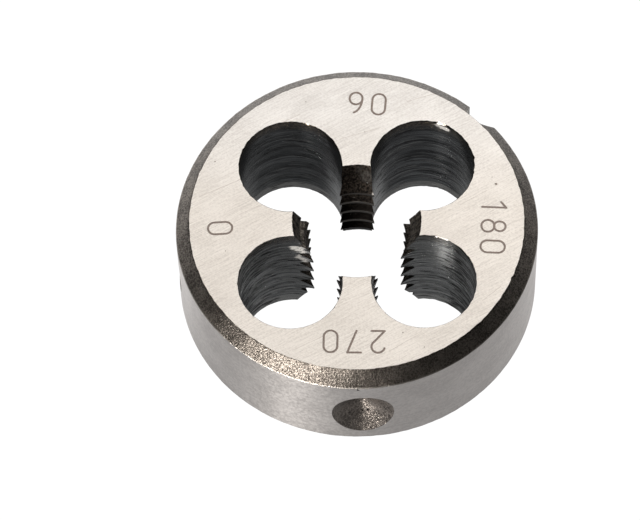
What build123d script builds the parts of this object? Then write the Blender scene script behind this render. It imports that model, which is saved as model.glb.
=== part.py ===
from build123d import *
import math
import os

# Round threading die: one hardened steel disc that cuts a right-hand metric thread on a rod.
# A threaded bore runs up the middle. Chip holes break into the bore all round it and leave lands,
# and the teeth stand on the land tips. Each end of the bore opens in a tapered lead, so that the
# teeth bite by degrees. The rim has a notch for the stock's centring screw and tapered seats for
# its clamping screws.
# Millimetres. Origin at the centre of the lower face, +Z up the bore.

# Disc
body_diameter = 30.0
body_thickness = 11.0
chamfer_width = 1.15  # how far a rim chamfer reaches in over the end face
chamfer_height = 1.15  # how far it reaches along the rim

# Thread
thread_diameter = 10.0
thread_pitch = 1.5
thread_angle = 60.0  # between the flanks, degrees
thread_depth_share = 17 / 24  # depth of the thread, as a share of its sharp V's height
root_flat_share = 1 / 8  # flat at the groove's bottom, as a share of the pitch
lead_pitches = 1.75  # length of each tapered lead, in pitches
lead_relief = 0.33  # how far the mouth of a lead stands outside the thread's root
thread_start = -0.25  # height of a groove's middle where it crosses the first land
groove_share = 0.75  # of the way from land to land, covered by one cut of the groove

# Chip holes and the lands between them
land_count = 4
land_width = 2.4  # at the narrowest point, between two chip holes
rim_wall = 2.95  # metal left between a chip hole and the rim
first_land_angle = -1.6  # degrees from +X: the lands stand a little off the screw seats
chip_hole_offset = 0.25  # towards -Y: the holes are drilled a little off the bore's centre

# Notch for the centring screw, along the whole height of the rim, in line with the first chip hole
notch_opening = 60.0  # between its sides, degrees
notch_depth = 1.15
notch_floor_width = 1.6
notch_corner_radius = 0.25

# Tapered seats for the clamping screws
seat_angles = (180.0, 270.0)  # degrees from +X
seat_opening = 120.0  # of the taper, degrees
seat_depth = 1.7
seat_drop = 0.3  # how far the seats stand below the middle of the rim

# How far a cutting tool runs past the metal, so that no cut ends on a face
tool_overrun = 1.0

body_radius = body_diameter / 2
sharp_thread_height = thread_pitch / 2 / math.tan(math.radians(thread_angle / 2))
root_radius = thread_diameter / 2
crest_radius = root_radius - thread_depth_share * sharp_thread_height
lead_length = lead_pitches * thread_pitch
half_land_turn = math.pi / land_count
chip_hole_reach = body_radius - rim_wall
chip_hole_circle = (chip_hole_reach + land_width / 2) / (1 + math.sin(half_land_turn))
chip_hole_radius = chip_hole_reach - chip_hole_circle
first_hole_angle = first_land_angle + 180 / land_count


def disc_blank():
    """The plain disc, chamfered at both ends, turned from its half section."""
    face_radius = body_radius - chamfer_width
    half_section = Polyline(
        (0, 0),
        (face_radius, 0),
        (body_radius, chamfer_height),
        (body_radius, body_thickness - chamfer_height),
        (face_radius, body_thickness),
        (0, body_thickness),
        close=True,
    )
    return revolve(Plane.XZ * make_face(half_section), Axis.Z)


def bore_cutter():
    """The bore at the thread's crest, widening to a tapered lead at each end."""
    mouth_radius = root_radius + lead_relief
    lead_slope = (mouth_radius - crest_radius) / lead_length
    outer_radius = mouth_radius + lead_slope * tool_overrun
    half_section = Polyline(
        (0, -tool_overrun),
        (outer_radius, -tool_overrun),
        (crest_radius, lead_length),
        (crest_radius, body_thickness - lead_length),
        (outer_radius, body_thickness + tool_overrun),
        (0, body_thickness + tool_overrun),
        close=True,
    )
    return revolve(Plane.XZ * make_face(half_section), Axis.Z)


def groove_cutters():
    """One short helical cut for each turn of the groove on each land, clear of both ends of the disc."""
    flank_slope = math.tan(math.radians(thread_angle / 2))
    inner_radius = crest_radius - root_flat_share * sharp_thread_height
    root_half_width = root_flat_share * thread_pitch / 2
    mouth_half_width = root_half_width + (root_radius - inner_radius) * flank_slope
    section = Polyline(
        (inner_radius, -mouth_half_width),
        (root_radius, -root_half_width),
        (root_radius, root_half_width),
        (inner_radius, mouth_half_width),
        close=True,
    )
    turn_share = groove_share / land_count
    path = Helix(thread_pitch, thread_pitch * turn_share, root_radius)
    cut = sweep(Plane.XZ * make_face(section), path=path, is_frenet=True)
    centred_cut = Pos(0, 0, -thread_pitch * turn_share / 2) * Rot(0, 0, -180 * turn_share) * cut
    last_turn = math.ceil(body_thickness / thread_pitch) + 1
    cuts = []
    for land in range(land_count):
        land_share = land / land_count
        angle = first_land_angle + 360 * land_share
        for turn in range(-1, last_turn):
            height = thread_start + thread_pitch * (turn + land_share)
            cuts.append(Pos(0, 0, height) * Rot(0, 0, angle) * centred_cut)
    return cuts


def chip_hole_cutters():
    """The round holes that carry the chips away, half a land's turn past each land."""
    drill_length = body_thickness + 2 * tool_overrun
    drill = Pos(0, 0, body_thickness / 2) * Cylinder(chip_hole_radius, drill_length)
    angles = [first_hole_angle + 360 / land_count * index for index in range(land_count)]
    circle_centre = Pos(0, -chip_hole_offset, 0)
    return [circle_centre * Rot(0, 0, angle) * Pos(chip_hole_circle, 0, 0) * drill for angle in angles]


def notch_cutter():
    """The groove down the rim, with sloping sides and a narrow floor."""
    side_slope = math.tan(math.radians(notch_opening / 2))
    floor_half_width = notch_floor_width / 2
    mouth_half_width = floor_half_width + (notch_depth + tool_overrun) * side_slope
    floor_x = body_radius - notch_depth
    outline = Polyline(
        (floor_x, -floor_half_width),
        (body_radius + tool_overrun, -mouth_half_width),
        (body_radius + tool_overrun, mouth_half_width),
        (floor_x, floor_half_width),
        close=True,
    )
    section = make_face(outline)
    floor_corners = section.vertices().sort_by(Axis.X)[:2]
    rounded = fillet(floor_corners, notch_corner_radius)
    prism = extrude(rounded, amount=body_thickness + 2 * tool_overrun)
    return Rot(0, 0, first_hole_angle) * Pos(0, 0, -tool_overrun) * prism


def seat_cutter(angle):
    """The tapered seat for one clamping screw, half way up the rim at the given angle."""
    tool_height = seat_depth + tool_overrun
    tool_radius = tool_height * math.tan(math.radians(seat_opening / 2))
    cone = Cone(0, tool_radius, tool_height, align=(Align.CENTER, Align.CENTER, Align.MIN))
    apex_x = body_radius - seat_depth
    placed = Pos(apex_x, 0, body_thickness / 2 - seat_drop) * Rot(0, 90, 0) * cone
    return Rot(0, 0, angle) * placed


def die_body():
    """The whole die as one solid."""
    body = disc_blank()
    body -= bore_cutter()
    body -= chip_hole_cutters()
    body -= notch_cutter()
    body -= [seat_cutter(angle) for angle in seat_angles]
    body -= groove_cutters()
    return body


os.makedirs("parts", exist_ok=True)
export_step(die_body(), "parts/die_body.step")
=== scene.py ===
"""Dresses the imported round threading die: ground, turned and blackened steel on a pale studio table.

The body is drawn again as one closed mesh, in which every surface has a finish of its own. Sizes
are millimetres while a surface is laid out, and metres once it is a mesh.
"""

import sys
import logging
import math
from collections.abc import Callable
from dataclasses import dataclass, field
from enum import Enum
from functools import partial, reduce

import bmesh
import bpy
import numpy as np
from mathutils import Matrix, Vector
from mathutils.geometry import delaunay_2d_cdt


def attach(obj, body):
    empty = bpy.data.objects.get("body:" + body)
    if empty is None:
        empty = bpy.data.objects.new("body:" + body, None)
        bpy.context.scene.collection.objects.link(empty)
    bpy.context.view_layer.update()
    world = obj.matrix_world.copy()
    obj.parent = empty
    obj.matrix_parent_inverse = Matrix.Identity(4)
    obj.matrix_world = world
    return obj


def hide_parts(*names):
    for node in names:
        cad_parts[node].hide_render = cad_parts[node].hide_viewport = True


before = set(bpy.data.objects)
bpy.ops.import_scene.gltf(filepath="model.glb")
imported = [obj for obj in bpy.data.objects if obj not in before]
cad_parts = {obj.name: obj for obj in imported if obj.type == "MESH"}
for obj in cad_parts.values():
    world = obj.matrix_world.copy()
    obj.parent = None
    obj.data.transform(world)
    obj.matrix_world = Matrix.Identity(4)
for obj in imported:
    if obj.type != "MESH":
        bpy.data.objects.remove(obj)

log = logging.getLogger("threading_die")

METRES = 0.001  # in a millimetre
WELD_GAP = 0.00001  # millimetres within which two points are one
SHARP_ANGLE = 24.0  # degrees from which an edge between two faces is sharp
DIGIT_WIDTH = 0.56  # of a digit that is 1 high

Point = tuple[float, float]  # x and y
Spot = tuple[float, float, float]  # x, y and z
Stroke = tuple[float, float, float, float]  # x and y of both ends
Colour = tuple[float, float, float]
Run = tuple[float, float]  # where something begins and where it is complete
FullRun = tuple[float, float, float, float]  # the same, then its first and its last value
Pair = tuple[np.ndarray, np.ndarray]
RowPoints = Callable[[float, int, np.ndarray], Pair]
Socket = bpy.types.NodeSocket
Number = Socket | float
Input = Socket | Vector | Spot | float


class Surface(Enum):
    """The surfaces of the die that have a finish of their own. The value is the material's place."""

    GROUND_FACE = 0
    CHAMFER = 1
    RIM = 2
    CHIP_HOLE = 3
    THREAD = 4
    SEAT = 5
    ETCHED = 6


def polar(radius: np.ndarray, angle: np.ndarray) -> np.ndarray:
    """Turns radii and angles into plane points.

    Args:
        radius: Distances from the bore's axis.
        angle: Angles from +X, in radians.

    Returns:
        An array of points whose last axis holds x and y.
    """
    return np.stack([radius * np.cos(angle), radius * np.sin(angle)], axis=-1)


def smooth_step(value: float, start: float, end: float) -> float:
    """Eases from 0 at start to 1 at end.

    Args:
        value: Where to read the curve.
        start: Value at which the curve leaves 0.
        end: Value at which the curve reaches 1.

    Returns:
        The curve's height.
    """
    share = min(max((value - start) / (end - start), 0.0), 1.0)
    return share * share * (3 - 2 * share)


def unevenness(angle: np.ndarray, waves: tuple[int, ...]) -> np.ndarray:
    """Adds up waves of unrelated lengths, so that an edge runs a little unevenly.

    Args:
        angle: Where to read it, in radians.
        waves: How many times each wave runs round the circle.

    Returns:
        Heights between -1 and 1, mostly small.
    """
    turns = np.asarray(angle)[..., None] * np.array(waves) + np.arange(len(waves)) ** 2
    return np.sin(turns).mean(axis=-1)


def closeness(points: np.ndarray, spots: tuple[Point, ...], width: float) -> np.ndarray:
    """Tells how near plane points are to the nearest of some spots.

    Args:
        points: Plane points.
        spots: Plane points of the spots.
        width: Distance at which little is left of the closeness.

    Returns:
        1 on a spot, and 0 far from all of them.
    """
    away = points[:, None, :] - np.array(spots)[None, :, :]
    return np.exp(-np.sum((away / width) ** 2, axis=-1)).max(axis=-1)


def closed(ring: np.ndarray) -> np.ndarray:
    """The point numbers of a ring, with the first repeated at the end."""
    return np.append(ring, ring[0])


def new_object(name: str, data: bpy.types.ID) -> bpy.types.Object:
    """Makes an object and links it to the scene.

    Args:
        name: The object's name.
        data: Its mesh, lamp or camera.

    Returns:
        The object.
    """
    piece = bpy.data.objects.new(name, data)
    bpy.context.scene.collection.objects.link(piece)
    return piece


def weld_mesh(mesh: bpy.types.Mesh) -> None:
    """Joins the points of a mesh that lie in one place, and drops the faces that this closes up.

    Args:
        mesh: The mesh, changed in place.
    """
    sheet = bmesh.new()
    sheet.from_mesh(mesh)
    bmesh.ops.remove_doubles(sheet, verts=sheet.verts, dist=WELD_GAP * METRES)
    sheet.to_mesh(mesh)
    sheet.free()


@dataclass
class MeshDraft:
    """Points and faces gathered from every surface of the body, before they become one mesh."""

    points: list[list[float]] = field(default_factory=list)
    faces: list[list[int]] = field(default_factory=list)
    surfaces: list[int] = field(default_factory=list)

    def add_points(self, points: np.ndarray) -> np.ndarray:
        """Adds points.

        Args:
            points: An array whose last axis holds x, y and z in millimetres.

        Returns:
            The numbers of the new points, in the array's own shape.
        """
        flat = np.asarray(points, dtype=float).reshape(-1, 3)
        first = len(self.points)
        self.points.extend(flat.tolist())
        return (first + np.arange(len(flat))).reshape(np.shape(points)[:-1])

    def add_face(self, corners: list[int], surface: Surface) -> None:
        """Adds one face unless two of its corners are the same point.

        Args:
            corners: Point numbers, counter-clockwise seen from outside the metal.
            surface: The surface it belongs to.
        """
        kept = [int(c) for c in corners]
        if len(set(kept)) == len(kept):
            self.faces.append(kept)
            self.surfaces.append(surface.value)

    def add_strip(
        self, lower: np.ndarray, upper: np.ndarray, surface: Surface | list[Surface]
    ) -> None:
        """Joins two rows of points of the same length with quads, outside to the right of the row.

        Args:
            lower: Point numbers of the first row.
            upper: Point numbers of the second row.
            surface: One surface, or one for each quad.
        """
        for place in range(len(lower) - 1):
            kind = surface if isinstance(surface, Surface) else surface[place]
            corners = [lower[place], lower[place + 1], upper[place + 1], upper[place]]
            self.add_face(corners, kind)

    def add_ring(self, outer: np.ndarray, points: np.ndarray, surface: Surface) -> np.ndarray:
        """Adds a closed ring of points inside another, and the strip between the two.

        Args:
            outer: Point numbers of the outer ring, with the first repeated at the end.
            points: Points of the new ring.
            surface: The surface that the strip belongs to.

        Returns:
            Point numbers of the new ring, with the first repeated at the end.
        """
        inner = closed(self.add_points(points))
        self.add_strip(outer, inner, surface)
        return inner

    def build(self, name: str, materials: list[bpy.types.Material]) -> bpy.types.Object:
        """Makes the mesh and its object. Flat surfaces stay flat, and the others are smooth.

        Args:
            name: The object's name.
            materials: One material for each surface, in order.

        Returns:
            The new object, linked to the scene.
        """
        mesh = bpy.data.meshes.new(name)
        scaled = [[value * METRES for value in point] for point in self.points]
        mesh.from_pydata(scaled, [], self.faces)
        mesh.polygons.foreach_set("material_index", self.surfaces)
        for material in materials:
            mesh.materials.append(material)
        weld_mesh(mesh)
        mesh.set_sharp_from_angle(angle=math.radians(SHARP_ANGLE))
        flat = (Surface.GROUND_FACE.value, Surface.ETCHED.value)
        smooth = [face.material_index not in flat for face in mesh.polygons]
        mesh.polygons.foreach_set("use_smooth", smooth)
        mesh.validate()
        return new_object(name, mesh)


@dataclass(frozen=True)
class DiscSizes:
    """The disc that the die is cut from, in millimetres."""

    diameter: float = 30.0
    thickness: float = 11.0
    chamfer_width: float = 1.15
    chamfer_height: float = 1.15

    @property
    def radius(self) -> float:
        """Radius of the rim."""
        return self.diameter / 2

    @property
    def face_radius(self) -> float:
        """Radius at which an end face meets its chamfer."""
        return self.radius - self.chamfer_width


@dataclass(frozen=True)
class ThreadForm:
    """The internal thread and the tapered leads that cut it back at both mouths."""

    disc: DiscSizes
    root_radius: float = 5.0
    pitch: float = 1.5
    flank_angle: float = 30.0
    depth_share: float = 17 / 24
    root_flat_share: float = 1 / 8
    lead_pitches: float = 1.75
    lead_relief: float = 0.33
    start: float = -0.25
    least_floor: float = 0.02  # what is left of a groove's floor where a lead has cut it away

    @property
    def flank_tangent(self) -> float:
        """How far a flank runs along the bore for each unit of its depth."""
        return math.tan(math.radians(self.flank_angle))

    @property
    def crest_radius(self) -> float:
        """Radius of the teeth's crests."""
        return self.root_radius - self.depth_share * self.pitch / 2 / self.flank_tangent

    @property
    def mouth_radius(self) -> float:
        """Radius of a lead where it opens in an end face."""
        return self.root_radius + self.lead_relief

    @property
    def lead_slope(self) -> float:
        """How fast a lead narrows along the bore."""
        return (self.mouth_radius - self.crest_radius) / (self.lead_pitches * self.pitch)

    def crest_surface(self, height: np.ndarray) -> np.ndarray:
        """Radius of the bore between two grooves, leads included.

        Args:
            height: Heights above the lower face.

        Returns:
            The radius at each height.
        """
        lower = self.mouth_radius - self.lead_slope * height
        upper = self.mouth_radius - self.lead_slope * (self.disc.thickness - height)
        return np.maximum(self.crest_radius, np.maximum(lower, upper))

    def radius_at(self, height: np.ndarray, centre: np.ndarray) -> np.ndarray:
        """Radius of the bore at a height.

        Args:
            height: Heights above the lower face.
            centre: Height of the middle of any groove at the same angle.

        Returns:
            The radius at each height: the groove's, or the crest's where that is larger.
        """
        turns = (height - centre) / self.pitch
        away = np.abs(turns - np.round(turns)) * self.pitch
        half_floor = self.root_flat_share * self.pitch / 2
        groove = self.root_radius - np.maximum(0, away - half_floor) / self.flank_tangent
        return np.maximum(groove, self.crest_surface(height))

    def groove_edges(self, centre: np.ndarray) -> tuple[np.ndarray, ...]:
        """Heights at which a groove's lower flank, floor and upper flank begin and end.

        A flank ends on the crests, or before them where it meets the lower or the upper lead.

        Args:
            centre: Height of the middle of the groove.

        Returns:
            Four arrays: lower edge, lower end of the floor, upper end of the floor, upper edge.
        """
        half_floor = self.root_flat_share * self.pitch / 2
        run = (self.root_radius - self.crest_radius) * self.flank_tangent
        steep = 1 / self.flank_tangent
        top = self.disc.thickness
        exit_height = self.lead_relief / self.lead_slope
        low = np.maximum(centre - half_floor, exit_height)
        high = np.minimum(centre + half_floor, top - exit_height)
        low_edges = [
            low - run,
            (self.lead_relief + low * steep) / (steep + self.lead_slope),
            top - ((top - low) * steep - self.lead_relief) / (steep - self.lead_slope),
        ]
        high_edges = [
            high + run,
            (high * steep - self.lead_relief) / (steep - self.lead_slope),
            top - (self.lead_relief + (top - high) * steep) / (steep + self.lead_slope),
        ]
        lower_edge = np.maximum.reduce(low_edges)
        upper_edge = np.minimum.reduce(high_edges)
        gone = high - low < self.least_floor
        return (
            np.where(gone, centre - half_floor - run, lower_edge),
            np.where(gone, centre - half_floor, low),
            np.where(gone, centre + half_floor, high),
            np.where(gone, centre + half_floor + run, upper_edge),
        )


def inset_ring(ring: np.ndarray, amount: np.ndarray, least_spread: float = 0.5) -> np.ndarray:
    """Moves a closed ring of plane points to its right.

    Args:
        ring: Plane points in order round the ring.
        amount: How far to move each point, negative for the left.
        least_spread: Least cosine of a corner's half turn that is counted, which keeps a very
            sharp corner from moving too far.

    Returns:
        The moved points.
    """
    step = np.roll(ring, -1, axis=0) - ring
    step /= np.linalg.norm(step, axis=1, keepdims=True)
    side = np.stack([step[:, 1], -step[:, 0]], axis=1)
    mean = side + np.roll(side, 1, axis=0)
    mean /= np.linalg.norm(mean, axis=1, keepdims=True)
    spread = np.clip(np.sum(mean * side, axis=1, keepdims=True), least_spread, 1)
    return ring + mean * amount[:, None] / spread


def inside(points: np.ndarray, outline: np.ndarray) -> np.ndarray:
    """Tells which points lie inside a closed outline.

    Args:
        points: Plane points.
        outline: Points of the outline.

    Returns:
        True for each point inside.
    """
    start, end = outline, np.roll(outline, -1, axis=0)
    x, y = points[:, 0, None], points[:, 1, None]
    rise = end[:, 1] - start[:, 1]
    crosses = (start[:, 1] > y) != (end[:, 1] > y)
    with np.errstate(divide="ignore", invalid="ignore"):
        at = start[:, 0] + (y - start[:, 1]) * (end[:, 0] - start[:, 0]) / rise
    return (np.sum(crosses & (x < at), axis=1) % 2).astype(bool)


@dataclass(frozen=True)
class CuttingWall:
    """The wall inside the die: toothed lands, and the chip holes between them."""

    thread: ThreadForm
    land_count: int = 4
    land_width: float = 2.4
    rim_wall: float = 2.95
    first_land_angle: float = -1.6
    hole_offset: float = 0.25
    edge_break: float = 0.045
    edge_tear: float = 0.9
    edge_waves: tuple[int, ...] = (71, 109, 163, 227)
    nicks: tuple[Point, ...] = ((9.953, 5.72), (6.404, -1.689))
    nick_depth: float = 0.10
    nick_width: float = 0.22
    # The edge is worn back here, at the places where the wall below carries painted highlights.
    wear_and_highlight_spots: tuple[Point, ...] = ((7.1, 9.12), (7.45, 8.98), (7.8, 8.8))
    wear_depth: float = 0.08
    wear_width: float = 0.3
    clear_breaks: int = 3
    land_reach: float = 0.4  # in radians, past a land's corners on both sides
    corner_steps: int = 8
    land_columns: int = 18
    hole_columns: int = 88
    floor_rows: int = 2
    flank_rows: int = 5
    crest_rows: int = 4

    @property
    def hole_circle(self) -> float:
        """Radius of the circle on which the chip holes stand."""
        reach = self.thread.disc.radius - self.rim_wall
        return (reach + self.land_width / 2) / (1 + math.sin(math.pi / self.land_count))

    @property
    def hole_radius(self) -> float:
        """Radius of a chip hole."""
        return self.thread.disc.radius - self.rim_wall - self.hole_circle

    @property
    def rows_per_turn(self) -> int:
        """Rows of points along one pitch of the thread."""
        return self.floor_rows + 2 * self.flank_rows + self.crest_rows

    @property
    def clear_height(self) -> float:
        """How far the thread's rows stay from the end faces."""
        return self.clear_breaks * self.edge_break + self.wear_depth

    def land_angle(self, land: int) -> float:
        """Angle of the middle of a land, in radians."""
        return math.radians(self.first_land_angle) + math.tau * land / self.land_count

    def hole_angle(self, hole: int) -> float:
        """Direction of a chip hole from the holes' own centre, in radians."""
        return self.land_angle(hole) + math.pi / self.land_count

    def hole_centre(self, hole: int) -> np.ndarray:
        """Centre of a chip hole, in the plane."""
        angle = self.hole_angle(hole)
        centre = self.hole_circle * np.array([math.cos(angle), math.sin(angle)])
        return centre - np.array([0, self.hole_offset])

    def row_point(self, row: int, land: int, angle: np.ndarray) -> Pair:
        """Height and radius of the toothed surface on one row.

        Args:
            row: Row number, counted up from the groove that crosses the first land.
            land: Number of the land.
            angle: Angles on the land, in radians.

        Returns:
            Arrays of heights and of radii.
        """
        form = self.thread
        turn_row = row - land * self.rows_per_turn // self.land_count
        groove, level = divmod(turn_row, self.rows_per_turn)
        turns = (angle - self.land_angle(land)) / math.tau + land / self.land_count
        centre = form.start + form.pitch * (groove + turns)
        _, low, high, upper_edge = form.groove_edges(centre)
        next_edge, next_low, next_high, _ = form.groove_edges(centre + form.pitch)
        floor, crest, flank = self.floor_rows // 2, self.crest_rows // 2, self.flank_rows
        knots = np.cumsum([0, floor, flank, crest, crest, flank, floor])
        heights = [(low + high) / 2, high, upper_edge, centre + form.pitch / 2]
        heights += [next_edge, next_low, (next_low + next_high) / 2]
        place = int(np.searchsorted(knots, level, side="right")) - 1
        share = (level - knots[place]) / (knots[place + 1] - knots[place])
        height = heights[place] * (1 - share) + heights[place + 1] * share
        return height, form.radius_at(height, centre)

    def flat_point(self, level: float, land: int, angle: np.ndarray) -> Pair:
        """Height and radius of the lead's cone on a level row.

        Args:
            level: Height of the row.
            land: Number of the land, which a level row doesn't need.
            angle: Angles on the land, in radians.

        Returns:
            Arrays of heights and of radii.
        """
        height = np.full(np.shape(angle), float(level))
        return height, self.thread.crest_surface(height)

    def land_corner(self, point_at: RowPoints, row: float, land: int, side: int) -> float:
        """Angle at which a row leaves its land and enters a chip hole.

        Args:
            point_at: Either row_point or flat_point.
            row: Row number, or height for flat_point.
            land: Number of the land.
            side: 1 for the hole after the land, -1 for the hole before it.

        Returns:
            The corner's angle, in radians.
        """
        centre = self.hole_centre(land if side > 0 else land - 1)
        far = float(np.hypot(*centre))
        middle = self.land_angle(land)
        direction = math.atan2(centre[1], centre[0])
        direction += math.tau * round((middle - direction) / math.tau)
        angle = middle
        for _ in range(self.corner_steps):
            _, radius = point_at(row, land, np.array(angle))
            reach = (radius**2 + far**2 - self.hole_radius**2) / (2 * radius * far)
            angle = direction - side * math.acos(float(reach))
        return angle

    def ring(self, point_at: RowPoints, row: float) -> np.ndarray:
        """One closed row of points round the whole wall.

        Args:
            point_at: Either row_point or flat_point.
            row: Row number, or height for flat_point.

        Returns:
            An array of points, counter-clockwise from the start of the first land.
        """
        lands = []
        for land in range(self.land_count):
            start = self.land_corner(point_at, row, land, -1)
            end = self.land_corner(point_at, row, land, 1)
            angles = np.linspace(start, end, self.land_columns + 1)
            height, radius = point_at(row, land, angles)
            lands.append(np.column_stack([polar(radius, angles), height]))
        stretches = []
        for hole, land in enumerate(lands):
            following = lands[(hole + 1) % self.land_count]
            stretches.extend([land, self.hole_arc(hole, land[-1], following[0])])
        return np.concatenate(stretches)

    def hole_arc(self, hole: int, start: np.ndarray, end: np.ndarray) -> np.ndarray:
        """The points of one row round a chip hole, without its two corners.

        Args:
            hole: Number of the chip hole.
            start: The corner of the land before it.
            end: The corner of the land after it.

        Returns:
            An array of points.
        """
        centre = self.hole_centre(hole)
        outward = self.hole_angle(hole)
        first = math.atan2(start[1] - centre[1], start[0] - centre[0])
        last = math.atan2(end[1] - centre[1], end[0] - centre[0])
        first = outward - (outward - first) % math.tau
        last = outward + (last - outward) % math.tau
        share = np.linspace(0, 1, self.hole_columns + 1)[1:-1]
        plane = centre + polar(self.hole_radius, first + (last - first) * share)
        height = start[2] + (end[2] - start[2]) * share
        return np.column_stack([plane, height])

    def column_surfaces(self) -> list[Surface]:
        """The surface that each column of the wall belongs to."""
        lands = [Surface.THREAD] * self.land_columns
        holes = [Surface.CHIP_HOLE] * self.hole_columns
        return (lands + holes) * self.land_count

    def rows(self) -> list[int]:
        """Finds the rows that stand clear of both end faces on every land.

        Returns:
            Their row numbers.
        """
        clear = self.clear_height
        top = self.thread.disc.thickness
        reach = math.ceil(top / self.thread.pitch + 2) * self.rows_per_turn
        kept = []
        for row in range(-reach, reach):
            heights = [
                self.row_point(row, land, self.land_angle(land) + turn)[0]
                for land in range(self.land_count)
                for turn in (-self.land_reach, self.land_reach)
            ]
            if min(heights) > clear and max(heights) < top - clear:
                kept.append(row)
        return kept

    def edge_loss(self, ring: np.ndarray) -> np.ndarray:
        """How far the sharp edge at an end face is broken back at each point of the ring.

        Args:
            ring: Plane points of the edge.

        Returns:
            One distance for each point.
        """
        angle = np.arctan2(ring[:, 1], ring[:, 0])
        torn = 1 + self.edge_tear * unevenness(angle, self.edge_waves)
        nicked = self.nick_depth * closeness(ring, self.nicks, self.nick_width)
        # Real wear of the edge, at the places of the wall's painted highlights.
        wear_and_highlight = self.wear_depth * closeness(ring, self.wear_and_highlight_spots, self.wear_width)
        return self.edge_break * torn + nicked + wear_and_highlight

    def build(self, draft: MeshDraft) -> tuple[Pair, Pair]:
        """Adds the whole wall.

        Args:
            draft: The draft that takes it.

        Returns:
            The point numbers and plane points of its lowest ring, and those of its highest.
        """
        top = self.thread.disc.thickness
        rings = [self.ring(self.row_point, row) for row in self.rows()]
        low = self.ring(self.flat_point, self.edge_break)
        high = self.ring(self.flat_point, top - self.edge_break)
        losses = [self.edge_loss(ring[:, :2]) for ring in (low, high)]
        mouths = [inset_ring(ring[:, :2], loss) for ring, loss in zip((low, high), losses)]
        low[:, 2] = losses[0]
        high[:, 2] = top - losses[1]
        lowest = np.column_stack([mouths[0], np.zeros(len(low))])
        highest = np.column_stack([mouths[1], np.full(len(high), top)])
        numbers = [draft.add_points(r) for r in [lowest, low, *rings, high, highest]]
        surfaces = self.column_surfaces()
        for lower, upper in zip(numbers, numbers[1:]):
            draft.add_strip(closed(upper), closed(lower), surfaces)
        return (numbers[0], mouths[0]), (numbers[-1], mouths[1])


@dataclass(frozen=True)
class ScrewSeat:
    """A conical seat in the rim for a clamping screw of the stock."""

    angle: float
    opening: float = 120.0
    depth: float = 1.7
    drop: float = 0.3
    patch_turn: float = 16.25
    cylinder_rings: int = 4
    cone_rings: int = 12
    edge_steps: int = 30

    @property
    def widening(self) -> float:
        """How fast the cone's radius grows along its axis."""
        return math.tan(math.radians(self.opening / 2))

    def cone_reach(self, direction: np.ndarray, rim_radius: float) -> np.ndarray:
        """How far the seat's edge stands from its axis.

        Args:
            direction: Directions round the seat's axis, in radians, from along the rim.
            rim_radius: Radius of the rim.

        Returns:
            The distance in each direction.
        """
        apex = rim_radius - self.depth
        reach = np.full(np.shape(direction), self.depth * self.widening)
        for _ in range(self.edge_steps):
            surface = np.sqrt(rim_radius**2 - (reach * np.cos(direction)) ** 2)
            reach = (surface - apex) * self.widening
        return reach

    def placed(self, local: np.ndarray, depth: np.ndarray, level: float) -> np.ndarray:
        """Sets points of the seat's own plane in their places.

        Args:
            local: Distances along the rim and up, from the seat's axis.
            depth: How far from the bore's axis each point stands.
            level: Height of the seat's axis.

        Returns:
            The points.
        """
        middle = math.radians(self.angle)
        axis = np.array([math.cos(middle), math.sin(middle)])
        along = np.array([-math.sin(middle), math.cos(middle)])
        plane = depth[:, None] * axis + local[:, :1] * along
        return np.column_stack([plane, local[:, 1] + level])


@dataclass(frozen=True)
class CentringNotch:
    """The groove down the rim for the stock's centring screw."""

    angle: float
    opening: float = 60.0
    depth: float = 1.15
    floor_width: float = 1.6
    corner_radius: float = 0.25
    side_points: int = 7
    corner_points: int = 4
    floor_points: int = 4

    def half_outline(self, rim_radius: float) -> list[Point]:
        """Plan points of one half of the notch, with the notch's direction along +X.

        Args:
            rim_radius: Radius of the rim.

        Returns:
            Points from the middle of the floor to the rim.
        """
        lean = math.radians(self.opening / 2)
        floor_x = rim_radius - self.depth
        half_floor = self.floor_width / 2
        setback = self.corner_radius * math.tan((math.pi / 2 - lean) / 2)
        arc_y = half_floor - setback
        points = [(floor_x, arc_y * step / self.floor_points) for step in range(self.floor_points)]
        for step in range(self.corner_points + 1):
            turn = (math.pi / 2 - lean) * step / self.corner_points
            x = floor_x + self.corner_radius * (1 - math.cos(turn))
            points.append((x, arc_y + self.corner_radius * math.sin(turn)))
        start_x, start_y = points[-1]
        slope = math.tan(lean)
        offset = start_y - slope * start_x
        squared = 1 + slope**2
        end_x = (-slope * offset + math.sqrt(squared * rim_radius**2 - offset**2)) / squared
        for step in range(1, self.side_points + 1):
            x = start_x + (end_x - start_x) * step / self.side_points
            points.append((x, slope * x + offset))
        return points

    def columns(self, rim_radius: float) -> Pair:
        """Angles and radii of the notch's wall.

        Args:
            rim_radius: Radius of the rim.

        Returns:
            Two arrays, in order of angle.
        """
        half = self.half_outline(rim_radius)
        outline = [(x, -y) for x, y in reversed(half[1:])] + half
        angles = [self.angle + math.atan2(y, x) for x, y in outline]
        radii = [math.hypot(x, y) for x, y in outline]
        return np.array(angles), np.array(radii)


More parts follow.
